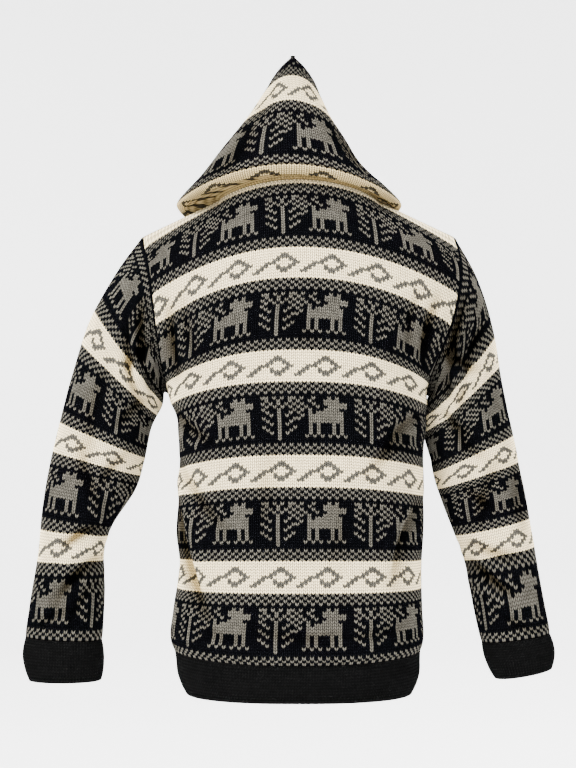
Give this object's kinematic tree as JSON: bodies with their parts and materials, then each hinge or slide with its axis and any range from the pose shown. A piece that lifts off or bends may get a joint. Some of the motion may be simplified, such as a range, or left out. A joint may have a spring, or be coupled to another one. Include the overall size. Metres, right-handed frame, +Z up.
{
  "type": "zip-up hoodie",
  "caption": "Knitted zip-up hooded jacket with a pointed hood, set-in sleeves, banded hem and cuffs, filled out as worn, with a hinged pull tab.",
  "frame": {"origin": "middle of the wearer at the level of the side of the neck, where the shoulders carry the garment", "axes": "+Z up, the front faces -Y, the wearer's left is at +X"},
  "size_m": [0.7205, 0.2861, 0.851],
  "materials": {
    "patterned_knit": "matt wool knit in black, grey and cream",
    "black_knit": "matt wool knit",
    "zip_tape": "woven tape",
    "zip_metal": "satin nickel plated"
  },
  "bodies": {
    "garment": {"back": "patterned_knit", "front_left": "patterned_knit", "front_right": "patterned_knit", "sleeve_left": "patterned_knit", "sleeve_right": "patterned_knit", "hood": "patterned_knit", "cuff_left": "black_knit", "cuff_right": "black_knit", "hem_back": "black_knit", "hem_left": "black_knit", "hem_right": "black_knit", "zip_tape_left": "zip_tape", "zip_tape_right": "zip_tape", "zip_chain": "zip_metal", "zip_slider": "zip_metal", "zip_stop_left": "zip_metal", "zip_stop_right": "zip_metal", "zip_box": "zip_metal"},
    "pull_tab": {"pull_tab": "zip_metal"}
  },
  "joints": [
    {"name": "pull_tab_hinge", "type": "hinge", "parent": "garment", "child": "pull_tab", "pos_m": [0, -0.1064, -0.06593], "axis": [-1, 0, 0], "range_deg": [0, 165]}
  ]
}
